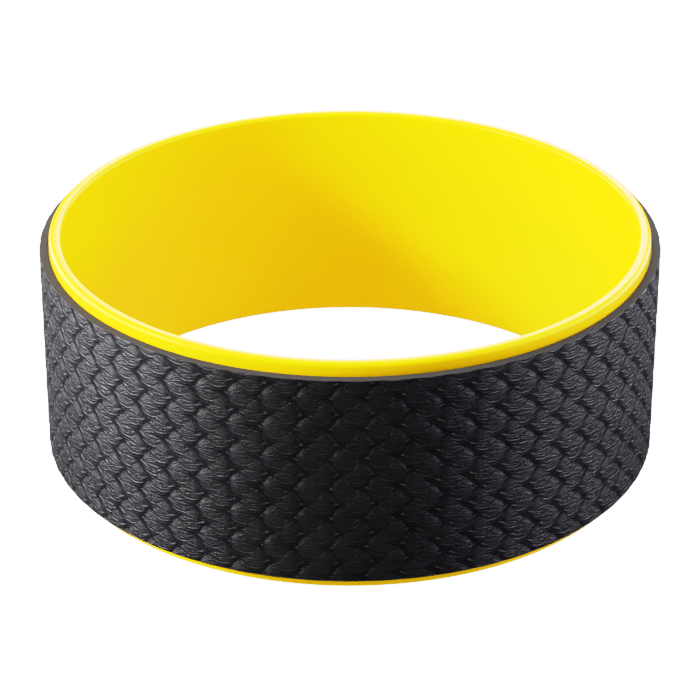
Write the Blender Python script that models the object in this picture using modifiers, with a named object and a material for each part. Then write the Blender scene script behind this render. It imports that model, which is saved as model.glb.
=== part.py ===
"""A yoga wheel: a moulded plastic hoop with a foam tread stuck round its outside.

Metres, +Z up. The wheel lies on one rim with its axis along Z, and the origin is the centre of the
face that it rests on.
"""

import math

import bmesh
import bpy

MODEL_NAME = "yoga_wheel"

# Driving dimensions
WHEEL_DIAMETER = 0.330
WHEEL_WIDTH = 0.127
HOOP_WALL = 0.0066
RIM_CORNER_RADIUS = 0.0024
RIM_STAND_OUT = 0.0068  # how far the hoop reaches past the tread at each side
TREAD_THICKNESS = 0.0045
FILM_THICKNESS = 0.0002
FILM_INSET = 0.0005  # from the tread's cut edge to the film's
SEAM_ANGLE = math.pi  # where the tread's two ends meet, anticlockwise from +X
SEAM_GAP = 0.0003
FIT_GAP = 0.0003  # between the faces of neighbouring pieces

# Facets. The pieces share ROUND_STEPS and start at +X, so their facets lie parallel.
ROUND_STEPS = 96
CORNER_STEPS = 4

# Radii, from the outside in
TREAD_OUTER_RADIUS = WHEEL_DIAMETER / 2
TREAD_INNER_RADIUS = TREAD_OUTER_RADIUS - TREAD_THICKNESS
FILM_OUTER_RADIUS = TREAD_INNER_RADIUS - FIT_GAP
FILM_INNER_RADIUS = FILM_OUTER_RADIUS - FILM_THICKNESS
HOOP_OUTER_RADIUS = FILM_INNER_RADIUS - FIT_GAP
HOOP_INNER_RADIUS = HOOP_OUTER_RADIUS - HOOP_WALL

TREAD_WIDTH = WHEEL_WIDTH - 2 * RIM_STAND_OUT
FILM_WIDTH = TREAD_WIDTH - 2 * FILM_INSET

# Colour (linear RGB), roughness
HOOP_FINISH = ((0.88, 0.72, 0.005), 0.18)
FILM_FINISH = ((0.55, 0.50, 0.38), 0.60)
TREAD_FINISH = ((0.018, 0.018, 0.021), 0.65)


def clear_scene():
    """Remove every object that the file already holds."""
    for thing in list(bpy.data.objects):
        bpy.data.objects.remove(thing, do_unlink=True)


def make_collection():
    """The collection that holds the model."""
    collection = bpy.data.collections.new(MODEL_NAME)
    bpy.context.scene.collection.children.link(collection)
    return collection


def make_material(name, finish):
    """A plain plastic or foam material from a (colour, roughness) pair."""
    colour, roughness = finish
    material = bpy.data.materials.new(name)
    material.use_nodes = True
    shader = material.node_tree.nodes["Principled BSDF"]
    shader.inputs["Base Color"].default_value = (*colour, 1.0)
    shader.inputs["Roughness"].default_value = roughness
    shader.inputs["Metallic"].default_value = 0.0
    return material


def rounded_wall_profile():
    """(radius, height) points round the hoop's section, down the outer side first."""
    inner = HOOP_INNER_RADIUS + RIM_CORNER_RADIUS
    outer = HOOP_OUTER_RADIUS - RIM_CORNER_RADIUS
    bottom = RIM_CORNER_RADIUS
    top = WHEEL_WIDTH - RIM_CORNER_RADIUS
    corners = [(outer, top, 90), (outer, bottom, 0), (inner, bottom, -90), (inner, top, -180)]
    points = []
    for radius, height, start_angle in corners:
        for step in range(CORNER_STEPS + 1):
            angle = math.radians(start_angle - 90 * step / CORNER_STEPS)
            points.append((radius + RIM_CORNER_RADIUS * math.cos(angle),
                           height + RIM_CORNER_RADIUS * math.sin(angle)))
    return points


def turned_ring(name, profile, material, collection):
    """A ring from a closed (radius, height) profile turned round Z."""
    section = bmesh.new()
    corners = [section.verts.new((radius, 0.0, height)) for radius, height in profile]
    for first, second in zip(corners, corners[1:] + corners[:1]):
        section.edges.new((first, second))
    mesh = bpy.data.meshes.new(name)
    section.to_mesh(mesh)
    section.free()
    ring = bpy.data.objects.new(name, mesh)
    ring.data.materials.append(material)
    collection.objects.link(ring)

    turn = ring.modifiers.new("turn", "SCREW")
    turn.axis = "Z"
    turn.angle = 2 * math.pi
    turn.steps = ROUND_STEPS
    turn.render_steps = ROUND_STEPS
    turn.use_merge_vertices = True
    turn.merge_threshold = 0.00001
    turn.use_smooth_shade = True
    return ring


def strip_outline(inner_radius, outer_radius):
    """(x, y) points round a strip wrapped once about Z, open at the seam."""
    half_gap_angle = SEAM_GAP / (inner_radius + outer_radius)
    step_angle = 2 * math.pi / ROUND_STEPS
    angles = [SEAM_ANGLE + half_gap_angle]
    angles += [SEAM_ANGLE + step * step_angle for step in range(1, ROUND_STEPS)]
    angles.append(SEAM_ANGLE + 2 * math.pi - half_gap_angle)
    outside = [(outer_radius * math.cos(a), outer_radius * math.sin(a)) for a in angles]
    inside = [(inner_radius * math.cos(a), inner_radius * math.sin(a)) for a in angles]
    return outside + inside[::-1]


def wrapped_strip(name, inner_radius, outer_radius, width, material, collection):
    """A flat strip wrapped round the hoop, halfway up the wheel, its ends butted at the seam."""
    outline = bpy.data.curves.new(name, "CURVE")
    outline.dimensions = "2D"
    outline.fill_mode = "BOTH"
    outline.extrude = width / 2
    points = strip_outline(inner_radius, outer_radius)
    spline = outline.splines.new("POLY")
    spline.points.add(len(points) - 1)
    for point, (x, y) in zip(spline.points, points):
        point.co = (x, y, 0.0, 1.0)
    spline.use_cyclic_u = True
    outline.materials.append(material)
    strip = bpy.data.objects.new(name, outline)
    strip.location.z = WHEEL_WIDTH / 2
    collection.objects.link(strip)
    return strip


def build_hoop(collection):
    """The rigid one-piece hoop, with rounded rims."""
    material = make_material("hoop_plastic", HOOP_FINISH)
    turned_ring("hoop", rounded_wall_profile(), material, collection)


def build_adhesive_film(collection):
    """The double-sided adhesive that holds the tread on."""
    material = make_material("adhesive", FILM_FINISH)
    wrapped_strip("adhesive_film", FILM_INNER_RADIUS, FILM_OUTER_RADIUS, FILM_WIDTH, material,
                  collection)


def build_tread(collection):
    """The foam strip that the wheel rolls on."""
    material = make_material("tread_foam", TREAD_FINISH)
    wrapped_strip("tread", TREAD_INNER_RADIUS, TREAD_OUTER_RADIUS, TREAD_WIDTH, material,
                  collection)


def main():
    clear_scene()
    collection = make_collection()
    build_hoop(collection)
    build_adhesive_film(collection)
    build_tread(collection)


main()
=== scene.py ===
"""Looks of the yoga wheel: a glossy yellow hoop with an embossed foam tread, lying in a plain studio.

Metres, +Z up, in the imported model's frame. The relief of the tread is worked out in millimetres.
"""

import math

import bpy
import numpy as np
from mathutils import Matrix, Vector


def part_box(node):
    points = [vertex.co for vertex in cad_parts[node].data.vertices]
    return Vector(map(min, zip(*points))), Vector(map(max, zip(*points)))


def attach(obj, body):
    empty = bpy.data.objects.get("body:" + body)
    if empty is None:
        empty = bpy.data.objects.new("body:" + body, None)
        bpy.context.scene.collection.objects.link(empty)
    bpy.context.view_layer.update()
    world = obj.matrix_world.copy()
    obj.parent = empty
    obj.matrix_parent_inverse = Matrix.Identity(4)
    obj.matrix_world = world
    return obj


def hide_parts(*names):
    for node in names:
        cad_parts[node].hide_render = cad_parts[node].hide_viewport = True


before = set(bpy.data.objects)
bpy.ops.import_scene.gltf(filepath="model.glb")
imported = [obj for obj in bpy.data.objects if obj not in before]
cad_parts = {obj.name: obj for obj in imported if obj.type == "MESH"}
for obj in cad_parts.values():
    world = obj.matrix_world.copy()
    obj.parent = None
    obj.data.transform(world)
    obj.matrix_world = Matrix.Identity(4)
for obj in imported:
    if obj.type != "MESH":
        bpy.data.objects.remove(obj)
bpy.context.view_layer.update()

BODY = "root"
MM = 0.001

# Sizes read from the frame
_, HOOP_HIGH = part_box("hoop")
TREAD_LOW, TREAD_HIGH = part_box("tread")
HOOP_RADIUS = HOOP_HIGH.x
TREAD_RADIUS = TREAD_HIGH.x
WHEEL_WIDTH = HOOP_HIGH.z

# The hoop's section
HOOP_WALL = 0.0066
RIM_CORNER_RADIUS = 0.0024
HOOP_STEPS = 384
CORNER_STEPS = 12
WALL_STEPS = 24

# The bond between hoop and tread
BOND_THICKNESS = 0.0006
BOND_SKIN = 0.00002  # left clear on each side of the adhesive
BOND_INSET = 0.0012

# The tread strip
SEAM_ANGLE = math.pi  # anticlockwise from +X
SEAM_GAP = 0.00035
FRONT_ANGLE = -math.pi / 2  # the side that faces the camera
EDGE_RADIUS = 0.0005
EDGE_STEPS = 4
STEP_ALONG = 0.0006
STEP_UP = 0.00038
CUT_FACE_STEPS = 6

# The embossed pattern, in millimetres: tufts in staggered columns, each second one mirrored
COLUMN_PITCH = 17.5
ROW_PITCH = 16.8
ROW_RISE = 0.85  # how far a row climbs from one column to the next
ANCHOR_ANGLE = math.radians(4.9)  # a tuft's place, from the front
ANCHOR_HEIGHT = 60.2
HOLLOW_LEVEL = 0.34  # share of the tufts' height that fills the hollows between them
RELIEF_DEPTH = 0.85
FIBRE_WANDER = 1.8  # how far a fine fibre strays from its line, in fibre widths
MIRRORED_SETS = ((1, 0.0), (-1, 0.5))  # which way a set of tufts faces, and its stagger in cells
NEIGHBOURS = [(column, row) for column in (-1, 0, 1) for row in (-1, 0, 1)]

# One tuft, in millimetres from the lowest point of its lip
TUFT_OFFSET = (2.6, -2.2)  # from the middle of its cell to that lowest point
TUFT_ROOT = (-9.4, 2.4)  # where its strands fan out from
FAN_START = -14  # degrees
FAN_SPREAD = 90
STRAND_LENGTH = 13.8  # the fan's lowest strand
STRAND_SHORTENING = 6.0  # from the fan's lowest strand to its highest
FAN_STRANDS = 5.5  # main strands across the fan
FAN_FIBRES = 13.0  # fine fibres across it
LEFT_LIP = (9.0, 2.9)  # how far it reaches, and how high it has climbed there
RIGHT_LIP = (4.5, 1.6)
LIP_HALF_THICKNESS = 0.42
LEFT_LIP_FADE = (-9.8, -8.6)  # the stretch where its raised lip fades in
RIGHT_LIP_FADE = (5.4, 4.0)  # and the one where it fades out, from the far end
CRESCENT_MIDDLE = -0.9
CRESCENT_HALF_WIDTH = 7.2
CRESCENT_DEPTH = 5.4
HUNG_FIBRE_WIDTH = 0.95

# Shares of a tuft's height
BODY_SHARE = 0.56
BODY_STRAND_SHARE = 0.20
CRESCENT_SHARE = 0.38
CRESCENT_BAND_SHARE = 0.34
FIBRE_SHARE = 0.24

# Numbers kept at each point of the tread's mesh for its material
RISE_ATTRIBUTE = "rise"  # the pattern's height
FIBRE_ATTRIBUTE = "fibre"  # the fibre count

# Linear colours, the darker and the lighter of each surface
HOOP_YELLOWS = ((0.83, 0.475, 0.0012), (0.85, 0.495, 0.0012))
SKIN_BLACKS = ((0.0020, 0.0020, 0.0030), (0.0034, 0.0034, 0.0047))
CUT_FOAM_GREYS = ((0.007, 0.0063, 0.0060), (0.0165, 0.0147, 0.0140))
ADHESIVE_CREAMS = ((0.34, 0.29, 0.20), (0.50, 0.45, 0.34))

# The camera
CAMERA_DISTANCE = 1.52
CAMERA_ELEVATION = math.radians(27.45)
CAMERA_TARGET = Vector((0.0, 0.0, 0.0516))
CAMERA_LENS = 143.6
SENSOR_WIDTH = 36.0

# The studio
FLOOR_SIZE = 8.0
FLOOR_LEVEL = -0.0001
BOUNCE_LEVEL = -0.0002
FLOOR_BRIGHTNESS = 2.9
FLOOR_BOUNCE = 1.0
LAMP_DISTANCE = 1.6
WHITE = (1.0, 1.0, 1.0)
COOL = (0.96, 0.95, 1.0)
COOLER = (0.89, 0.87, 1.0)
SOFTBOXES = (  # name, degrees right of the camera, degrees above the floor, width, brightness, colour
    ("key", -70, 26.5, 0.22, 195, WHITE),
    ("left", -92, 12, 1.1, 10.0, COOL),
    ("left_front", -66, 12, 1.1, 5.4, COOL),
    ("right", 92, 12, 1.1, 4.5, COOLER),
    ("right_front", 64, 16, 1.1, 3.1, COOLER),
    ("back", 175, 26, 0.85, 7.5, WHITE),
    ("back_left", -125, 12, 1.1, 6.5, COOL),
    ("back_right", 125, 12, 1.1, 6.0, COOLER),
    ("upper_left", -75, 45, 1.1, 4.2, WHITE),
    ("upper_right", 78, 45, 1.1, 3.8, WHITE),
    ("overhead", 0, 90, 1.1, 6.6, WHITE),
)
FILM_WHITE = 2.7
FILM_SHOULDER = ((0.60, 0.60), (0.80, 0.72), (1.0, 0.80),  # (light, shown) pairs
                 (1.3, 0.865), (2.0, 0.91), (2.7, 0.99))


# ---------------------------------------------------------------- meshes

def loops_to_mesh(name, loops, close_round):
    """A mesh through a series of closed point loops, joined to each other in order."""
    count, size, _ = loops.shape
    last = count if close_round else count - 1
    ring = np.arange(last)[:, None]
    step = np.arange(size)[None, :]
    next_ring = (ring + 1) % count
    next_step = (step + 1) % size
    quads = np.stack([
        ring * size + step,
        next_ring * size + step,
        next_ring * size + next_step,
        ring * size + next_step,
    ], axis=-1).reshape(-1, 4)
    faces = quads.tolist()
    if not close_round:  # the two ends
        faces.append(list(range(size)))
        faces.append(list(range((count - 1) * size, count * size))[::-1])
    mesh = bpy.data.meshes.new(name)
    mesh.from_pydata(loops.reshape(-1, 3).tolist(), [], faces)
    mesh.update()
    return mesh


def add_piece(name, mesh, materials, replaced_node):
    """Link a finished piece to the body, and hide the part node it replaces."""
    piece = bpy.data.objects.new(name, mesh)
    for material in materials:
        mesh.materials.append(material)
    bpy.context.scene.collection.objects.link(piece)
    mesh.shade_smooth()
    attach(piece, BODY)
    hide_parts(replaced_node)
    return piece


def turned(section, angles):
    """Loops of a (radius, height) section placed at each angle about Z."""
    radius = section[:, 0][None, :]
    height = np.broadcast_to(section[:, 1][None, :], (len(angles), len(section)))
    cosine = np.cos(angles)[:, None]
    sine = np.sin(angles)[:, None]
    return np.stack([radius * cosine, radius * sine, height], axis=-1)


def quarter_arc(centre_radius, centre_height, corner, start, steps):
    """(radius, height) points round a quarter circle, clockwise from start degrees."""
    points = []
    for step in range(steps + 1):
        angle = math.radians(start - 90 * step / steps)
        points.append((centre_radius + corner * math.cos(angle),
                       centre_height + corner * math.sin(angle)))
    return points


def wrapped_angles(end_gap, steps):
    """Angles along a strip wrapped once about Z, an end_gap angle short of the seam at each end."""
    return SEAM_ANGLE + np.linspace(end_gap, 2 * math.pi - end_gap, steps + 1)


def points_between(start, end, steps):
    """The points that cut a straight line into equal steps, without its two ends."""
    points = []
    for step in range(1, steps):
        share = step / steps
        points.append((start[0] + (end[0] - start[0]) * share,
                       start[1] + (end[1] - start[1]) * share))
    return points


# ---------------------------------------------------------------- the embossed pattern

def smooth(start, end, x):
    """0 at start and 1 at end, an even curve between them, and level past both. Start may be larger."""
    share = np.clip((x - start) / (end - start), 0, 1)
    return share * share * (3 - 2 * share)


def rounded(phase):
    """Round-backed ridges of period 1 with sharp valleys between them, from 0 to 1."""
    return np.sqrt(np.abs(np.cos(np.pi * phase)))


def plateau(x, centre, half_width):
    """A swelling of height 1 about the centre, flatter than an arch, and 0 outside it."""
    return np.clip(1 - np.abs((x - centre) / half_width) ** 3, 0, 1) ** 0.6


def lip_line(x):
    """Height on the strip of a tuft's lip: a curve that climbs to both sides of its lowest point."""
    left_reach, left_rise = LEFT_LIP
    right_reach, right_rise = RIGHT_LIP
    left = left_rise * (np.abs(x) / left_reach) ** 1.7
    right = right_rise * (x / right_reach) ** 2
    return np.where(x < 0, left, right)


def fanned_body(x, y, above):
    """Height and fibre count of a tuft's swollen body, whose strands fan out from its root.

    Turn goes from 0 to 1 across the fan, and along goes from 0 to 1 from the root to a strand's end.
    """
    root_x, root_y = TUFT_ROOT
    turn = (np.degrees(np.arctan2(y - root_y, x - root_x)) - FAN_START) / FAN_SPREAD
    turn = np.clip(turn, -0.3, 1.3)
    length = STRAND_LENGTH - STRAND_SHORTENING * smooth(0, 1, turn)
    along = np.hypot(x - root_x, y - root_y) / length
    swell = smooth(-0.1, 0.5, along) * plateau(along, 0.50, 0.56) * plateau(turn, 0.18, 0.58)
    fibre = FAN_FIBRES * turn + 0.8 * along + 0.3
    strands = BODY_STRAND_SHARE * rounded(FAN_STRANDS * turn + 0.35 * along)
    ridges = BODY_SHARE + (strands + FIBRE_SHARE * rounded(fibre))
    height = swell * ridges * smooth(-0.4, 0.3, above)
    return height, fibre


def hung_crescent(x, above):
    """Height and fibre count of the crescent of curved strands that hangs under a tuft's lip."""
    width = plateau(x, CRESCENT_MIDDLE, CRESCENT_HALF_WIDTH)
    below = -above / np.maximum(CRESCENT_DEPTH * width, 0.001)
    fibre = -above / HUNG_FIBRE_WIDTH + 0.2 + 0.05 * x
    bands = CRESCENT_BAND_SHARE * rounded(-above / (2 * HUNG_FIBRE_WIDTH) + 0.5)
    ridges = CRESCENT_SHARE + (bands + FIBRE_SHARE * rounded(fibre))
    height = plateau(below, 0.45, 0.60) * width * ridges * smooth(-0.3, 0.4, -above)
    return height, fibre


def lip_bead(x, above):
    """Height of a tuft's thin raised lip, which fades out at both ends."""
    ends = smooth(*LEFT_LIP_FADE, x) * smooth(*RIGHT_LIP_FADE, x)
    crest = 0.80 + 0.20 * smooth(-9, -4, x)
    return np.exp(-((above / LIP_HALF_THICKNESS) ** 2)) * ends * crest


def tuft(x, y):
    """Height and fibre count of one tuft, (x, y) millimetres from the lowest point of its lip.

    The lip bounds the body below, and the crescent hangs under the lip. The fibre count grows by 1
    from each fine fibre to the next.
    """
    above = y - lip_line(x)
    body, fanned_fibre = fanned_body(x, y, above)
    crescent, hung_fibre = hung_crescent(x, above)
    height = np.maximum.reduce([body, crescent, lip_bead(x, above)])
    return height, np.where(above > 0, fanned_fibre, hung_fibre)


def relief(along, up):
    """Height from 0 to 1, and fibre count, at a place in millimetres on the unrolled strip."""
    height = np.full_like(along, HOLLOW_LEVEL)
    fibre = np.zeros_like(along)
    column = along / COLUMN_PITCH
    row = (up - ROW_RISE * column) / ROW_PITCH
    for side, stagger in MIRRORED_SETS:
        nearest_column = np.round(column - stagger)
        nearest_row = np.round(row - stagger)
        for extra_column, extra_row in NEIGHBOURS:
            over = column - stagger - nearest_column - extra_column
            rows_up = row - stagger - nearest_row - extra_row
            x = side * over * COLUMN_PITCH - TUFT_OFFSET[0]
            y = rows_up * ROW_PITCH + over * ROW_RISE - TUFT_OFFSET[1]
            tuft_height, tuft_fibre = tuft(x, y)
            fibre = np.where(tuft_height > height, tuft_fibre, fibre)
            height = np.maximum(height, tuft_height)
    return np.minimum(height, 1.0), fibre


# ---------------------------------------------------------------- material nodes

def new_material(name):
    """A node material, with its tree and its shader."""
    material = bpy.data.materials.new(name)
    material.use_nodes = True
    tree = material.node_tree
    return material, tree, tree.nodes["Principled BSDF"]


def connect(tree, value, socket):
    """Give a socket another node's output, or a plain value."""
    if isinstance(value, bpy.types.NodeSocket):
        tree.links.new(value, socket)
    else:
        socket.default_value = value


def feed(tree, node, **inputs):
    """Give a node its inputs, each named with _ for a space."""
    for name, value in inputs.items():
        connect(tree, value, node.inputs[name.replace("_", " ")])


def add_node(tree, kind, **inputs):
    """Add a node, and give it its inputs."""
    node = tree.nodes.new(kind)
    feed(tree, node, **inputs)
    return node


def calculate(tree, operation, *values):
    """The result of a math node on plain numbers or other nodes' outputs."""
    node = tree.nodes.new("ShaderNodeMath")
    node.operation = operation
    for value, socket in zip(values, node.inputs):
        connect(tree, value, socket)
    return node.outputs["Value"]


def object_place(tree):
    """Each point's place in its object's own coordinates."""
    return add_node(tree, "ShaderNodeTexCoord").outputs["Object"]


def stored_number(tree, name):
    """The number that keep_on_points stored under this name."""
    node = add_node(tree, "ShaderNodeAttribute")
    node.attribute_name = name
    return node.outputs["Fac"]


def noise(tree, place, scale, detail):
    """A cloudy level from 0 to 1."""
    node = add_node(tree, "ShaderNodeTexNoise", Vector=place, Scale=scale, Detail=detail)
    return node.outputs["Fac"]


def pores(tree, place, scale):
    """A level that rises from 0 at the middle of each cell to the cell's border."""
    return add_node(tree, "ShaderNodeTexVoronoi", Vector=place, Scale=scale).outputs["Distance"]


def tint(tree, level, start, end, colours):
    """Colour that goes from the first of two to the second as a level goes from start to end."""
    node = add_node(tree, "ShaderNodeValToRGB", Fac=level)
    for element, position, colour in zip(node.color_ramp.elements, (start, end), colours):
        element.position = position
        element.color = (*colour, 1.0)
    return node.outputs["Color"]


def between(tree, level, low, high, start=0.0, end=1.0):
    """A number that goes from low to high as a level goes from start to end."""
    node = add_node(tree, "ShaderNodeMapRange", Value=level, From_Min=start, From_Max=end,
                    To_Min=low, To_Max=high)
    return node.outputs["Result"]


def bumped(tree, height, strength, distance, **under):
    """The surface's direction with a bump on it, over the one given as Normal if there is one."""
    node = add_node(tree, "ShaderNodeBump", Height=height, Strength=strength, Distance=distance,
                    **under)
    return node.outputs["Normal"]


# ---------------------------------------------------------------- materials

def hoop_plastic():
    """Glossy yellow moulded plastic with a faint orange-peel surface."""
    material, tree, shader = new_material("hoop_plastic")
    place = object_place(tree)
    cloud = noise(tree, place, scale=14.0, detail=2.0)
    haze = noise(tree, place, scale=90.0, detail=3.0)
    peel = noise(tree, place, scale=420.0, detail=1.0)
    feed(tree, shader,
         Base_Color=tint(tree, cloud, 0.35, 0.65, HOOP_YELLOWS),
         Roughness=between(tree, haze, 0.22, 0.28),
         Normal=bumped(tree, peel, strength=0.05, distance=0.0003),
         Specular_IOR_Level=0.3,
         Specular_Tint=(1.0, 0.80, 0.08, 1.0))
    return material


def fibre_normal(tree, place):
    """The skin's direction with its fine fibres, one fold for each whole fibre count, strayed by noise."""
    wander = noise(tree, place, scale=420.0, detail=2.0)
    count = calculate(tree, "MULTIPLY_ADD", wander, FIBRE_WANDER, stored_number(tree, FIBRE_ATTRIBUTE))
    fold = calculate(tree, "PINGPONG", count, 0.5)
    return bumped(tree, fold, strength=0.55, distance=0.0002)


def tread_skin():
    """Near-black embossed foam skin with a fine grain. Its raised parts have a low sheen."""
    material, tree, shader = new_material("tread_skin")
    place = object_place(tree)
    cloud = noise(tree, place, scale=60.0, detail=4.0)
    grain = noise(tree, place, scale=1400.0, detail=2.0)
    rise = stored_number(tree, RISE_ATTRIBUTE)
    feed(tree, shader,
         Base_Color=tint(tree, cloud, 0.3, 0.7, SKIN_BLACKS),
         Roughness=between(tree, cloud, 0.34, 0.43),
         Specular_IOR_Level=between(tree, rise, 0.30, 0.85, start=HOLLOW_LEVEL, end=0.9),
         Normal=bumped(tree, grain, strength=0.40, distance=0.0002, Normal=fibre_normal(tree, place)))
    return material


def tread_cut():
    """The strip's cut edge: bare brownish-grey foam with open pores."""
    material, tree, shader = new_material("tread_cut")
    pore = pores(tree, object_place(tree), scale=1500.0)
    feed(tree, shader,
         Base_Color=tint(tree, pore, 0.0, 0.6, CUT_FOAM_GREYS),
         Normal=bumped(tree, pore, strength=0.4, distance=0.0002),
         Roughness=0.85)
    return material


def adhesive():
    """Pale, slightly cloudy adhesive."""
    material, tree, shader = new_material("adhesive")
    cloud = noise(tree, object_place(tree), scale=200.0, detail=3.0)
    feed(tree, shader,
         Base_Color=tint(tree, cloud, 0.3, 0.7, ADHESIVE_CREAMS),
         Roughness=0.55)
    return material


def lit_paper(name, brightness):
    """Plain grey paper that gives off an even light."""
    material, tree, shader = new_material(name)
    feed(tree, shader,
         Base_Color=(0.10, 0.10, 0.10, 1.0),
         Roughness=0.9,
         Specular_IOR_Level=0.0,
         Emission_Color=(1.0, 1.0, 1.0, 1.0),
         Emission_Strength=brightness)
    return material


# ---------------------------------------------------------------- pieces

def hoop_section():
    """(radius, height) points round the hoop's wall, down its outer side first."""
    inner = HOOP_RADIUS - HOOP_WALL + RIM_CORNER_RADIUS
    outer = HOOP_RADIUS - RIM_CORNER_RADIUS
    low = RIM_CORNER_RADIUS
    high = WHEEL_WIDTH - RIM_CORNER_RADIUS
    centres = [(outer, high, 90), (outer, low, 0), (inner, low, -90), (inner, high, -180)]
    arcs = [quarter_arc(radius, height, RIM_CORNER_RADIUS, start, CORNER_STEPS)
            for radius, height, start in centres]
    points = []
    for arc, next_arc in zip(arcs, arcs[1:] + arcs[:1]):
        points += arc
        points += points_between(arc[-1], next_arc[0], WALL_STEPS)
    return np.array(points)


def make_hoop():
    """The one-piece hoop: a straight wall with rounded rims."""
    angles = np.arange(HOOP_STEPS) * 2 * math.pi / HOOP_STEPS
    mesh = loops_to_mesh("hoop_moulding", turned(hoop_section(), angles), close_round=True)
    add_piece("hoop_moulding", mesh, [hoop_plastic()], "hoop")


def make_adhesive():
    """The thin adhesive layer, set in from the tread's edges and from its seam."""
    inner = HOOP_RADIUS + BOND_SKIN
    outer = HOOP_RADIUS + BOND_THICKNESS - BOND_SKIN
    section = np.array([
        (outer, TREAD_HIGH.z - BOND_INSET),
        (outer, TREAD_LOW.z + BOND_INSET),
        (inner, TREAD_LOW.z + BOND_INSET),
        (inner, TREAD_HIGH.z - BOND_INSET),
    ])
    angles = wrapped_angles(SEAM_GAP / TREAD_RADIUS, HOOP_STEPS)
    mesh = loops_to_mesh("adhesive_layer", turned(section, angles), close_round=False)
    add_piece("adhesive_layer", mesh, [adhesive()], "adhesive_film")


def tread_section():
    """(radius, height) points round the strip's plain section, and how far each one takes the relief."""
    inner = HOOP_RADIUS + BOND_THICKNESS
    outer = TREAD_RADIUS - EDGE_RADIUS
    low = TREAD_LOW.z + EDGE_RADIUS
    high = TREAD_HIGH.z - EDGE_RADIUS
    rows = round((TREAD_HIGH.z - TREAD_LOW.z - 2 * EDGE_RADIUS) / STEP_UP)

    points = quarter_arc(outer, high, EDGE_RADIUS, 90, EDGE_STEPS)[:-1]
    points += [(TREAD_RADIUS, height) for height in np.linspace(high, low, rows + 1)]
    points += quarter_arc(outer, low, EDGE_RADIUS, 0, EDGE_STEPS)[1:]
    points += [(radius, TREAD_LOW.z) for radius in np.linspace(outer, inner, CUT_FACE_STEPS + 1)[1:]]
    points += [(radius, TREAD_HIGH.z) for radius in np.linspace(inner, outer, CUT_FACE_STEPS + 1)[:-1]]

    fade_in = [step / EDGE_STEPS for step in range(EDGE_STEPS)]
    weights = fade_in + [1.0] * (rows + 1) + fade_in[::-1] + [0.0] * (2 * CUT_FACE_STEPS)
    return np.array(points), np.array(weights)


def relief_over(section, angles):
    """Pattern height and fibre count at each point of a section placed at each angle."""
    from_front = angles - 2 * math.pi - FRONT_ANGLE
    along = (from_front - ANCHOR_ANGLE) * TREAD_RADIUS / MM
    up = section[:, 1] / MM - ANCHOR_HEIGHT
    return relief(*np.meshgrid(along, up, indexing="ij"))


def keep_on_points(mesh, name, values):
    """Store one number for each point of a mesh, for its material to read."""
    stored = mesh.attributes.new(name, "FLOAT", "POINT")
    stored.data.foreach_set("value", values.ravel())


def mark_cut_faces(mesh, weights, columns):
    """Give the second material to the strip's two ends and to each face with a corner off the skin."""
    on_skin = weights > 0
    cut_step = ~(on_skin & np.roll(on_skin, -1))
    material_index = np.ones(len(mesh.polygons), dtype=np.int32)
    material_index[:columns * len(weights)] = np.tile(cut_step, columns)
    mesh.polygons.foreach_set("material_index", material_index)


def make_tread():
    """The embossed foam strip, wrapped once round the hoop and butted at the seam."""
    section, weights = tread_section()
    columns = round(2 * math.pi * TREAD_RADIUS / STEP_ALONG)
    angles = wrapped_angles(SEAM_GAP / 2 / TREAD_RADIUS, columns)

    pattern, fibre = relief_over(section, angles)
    sunk = (1 - pattern) * RELIEF_DEPTH * MM * weights[None, :]
    outward = np.stack([np.cos(angles), np.sin(angles), np.zeros_like(angles)], axis=-1)
    loops = turned(section, angles) - outward[:, None, :] * sunk[:, :, None]

    mesh = loops_to_mesh("tread_strip", loops, close_round=False)
    keep_on_points(mesh, RISE_ATTRIBUTE, pattern * weights[None, :])
    keep_on_points(mesh, FIBRE_ATTRIBUTE, fibre)
    piece = add_piece("tread_strip", mesh, [tread_skin(), tread_cut()], "tread")
    mark_cut_faces(mesh, weights, columns)


# ---------------------------------------------------------------- studio

def look_at(thing, target):
    """Turn a camera or lamp so that its -Z points at the target."""
    thing.rotation_euler = (target - thing.location).to_track_quat("-Z", "Y").to_euler()


def make_camera():
    """The camera, in front of the wheel and above it."""
    data = bpy.data.cameras.new("camera")
    data.lens = CAMERA_LENS
    data.sensor_width = SENSOR_WIDTH
    camera = bpy.data.objects.new("camera", data)
    camera.location = CAMERA_TARGET + Vector((
        0.0,
        -CAMERA_DISTANCE * math.cos(CAMERA_ELEVATION),
        CAMERA_DISTANCE * math.sin(CAMERA_ELEVATION),
    ))
    look_at(camera, CAMERA_TARGET)
    bpy.context.scene.collection.objects.link(camera)
    bpy.context.scene.camera = camera


def lay_sheet(name, height, brightness):
    """A large flat sheet of evenly lit paper."""
    half = FLOOR_SIZE / 2
    corners = [(-half, -half, 0.0), (half, -half, 0.0), (half, half, 0.0), (-half, half, 0.0)]
    mesh = bpy.data.meshes.new(name)
    mesh.from_pydata(corners, [], [(0, 1, 2, 3)])
    mesh.materials.append(lit_paper(name, brightness))
    sheet = bpy.data.objects.new(name, mesh)
    sheet.location.z = height
    bpy.context.scene.collection.objects.link(sheet)
    return sheet


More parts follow.
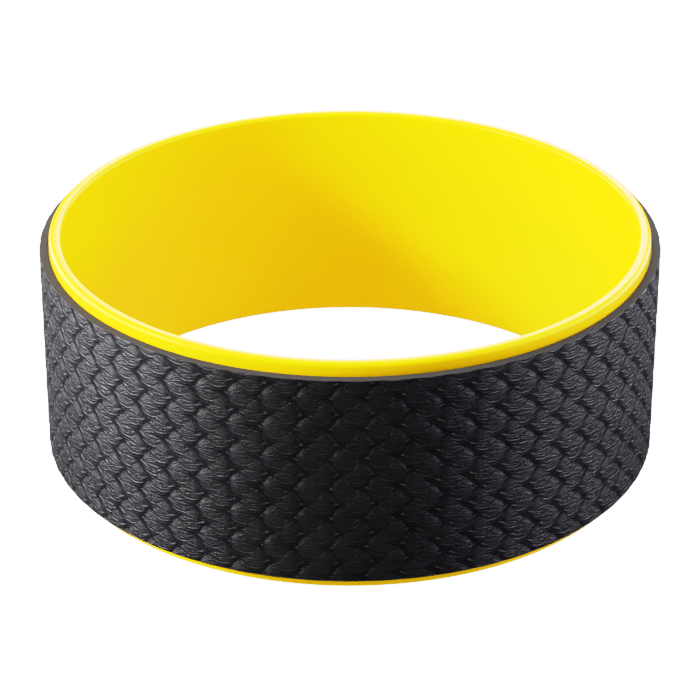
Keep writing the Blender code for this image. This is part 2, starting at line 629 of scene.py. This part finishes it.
def make_floor():
    """A pale floor. What the camera sees is white, and what lights the wheel is a dimmer sheet."""
    shown = lay_sheet("floor", FLOOR_LEVEL, FLOOR_BRIGHTNESS)
    shown.visible_diffuse = False
    shown.visible_glossy = False
    shown.visible_shadow = False
    bounce = lay_sheet("floor_bounce", BOUNCE_LEVEL, FLOOR_BOUNCE)
    bounce.visible_camera = False
    bounce.visible_glossy = False


def softbox(name, side, rise, width, brightness, colour):
    """A square lamp, side degrees to the right of the camera and rise degrees above the floor."""
    data = bpy.data.lights.new(name, "AREA")
    data.size = width
    data.energy = math.pi * width * width * brightness  # so brightness means the same at any width
    data.color = colour
    lamp = bpy.data.objects.new(name, data)
    side = math.radians(side)
    rise = math.radians(rise)
    direction = Vector((
        math.cos(rise) * math.sin(side),
        -math.cos(rise) * math.cos(side),
        math.sin(rise),
    ))
    lamp.location = direction * LAMP_DISTANCE
    lamp.visible_camera = False
    bpy.context.scene.collection.objects.link(lamp)
    look_at(lamp, Vector((0.0, 0.0, WHEEL_WIDTH / 2)))


def make_lights():
    """A key from the upper left, and large softboxes at the sides, above and behind."""
    for name, side, rise, width, brightness, colour in SOFTBOXES:
        softbox(name, side, rise, width, brightness, colour)


def make_surround():
    """White all round past the floor. The camera sees it, and it lights nothing."""
    world = bpy.data.worlds.new("surround")
    world.use_nodes = True
    background = world.node_tree.nodes["Background"]
    background.inputs["Color"].default_value = (1.0, 1.0, 1.0, 1.0)
    background.inputs["Strength"].default_value = FLOOR_BRIGHTNESS
    world.cycles_visibility.diffuse = False
    world.cycles_visibility.glossy = False
    bpy.context.scene.world = world


def set_film():
    """Plain colour, with a soft shoulder in the highlights like a camera's."""
    view = bpy.context.scene.view_settings
    view.view_transform = "Standard"
    view.use_curve_mapping = True
    film = view.curve_mapping
    film.white_level = (FILM_WHITE, FILM_WHITE, FILM_WHITE)
    curve = film.curves[3]  # the one for all three colours
    curve.points[0].location = (0.0, 0.0)
    curve.points[1].location = (1.0, FILM_SHOULDER[-1][1])
    for light, shown in FILM_SHOULDER[:-1]:
        curve.points.new(light / FILM_WHITE, shown)
    for point in curve.points:
        point.handle_type = "VECTOR"
    film.update()


make_camera()
make_hoop()
make_adhesive()
make_tread()
make_floor()
make_lights()
make_surround()
set_film()
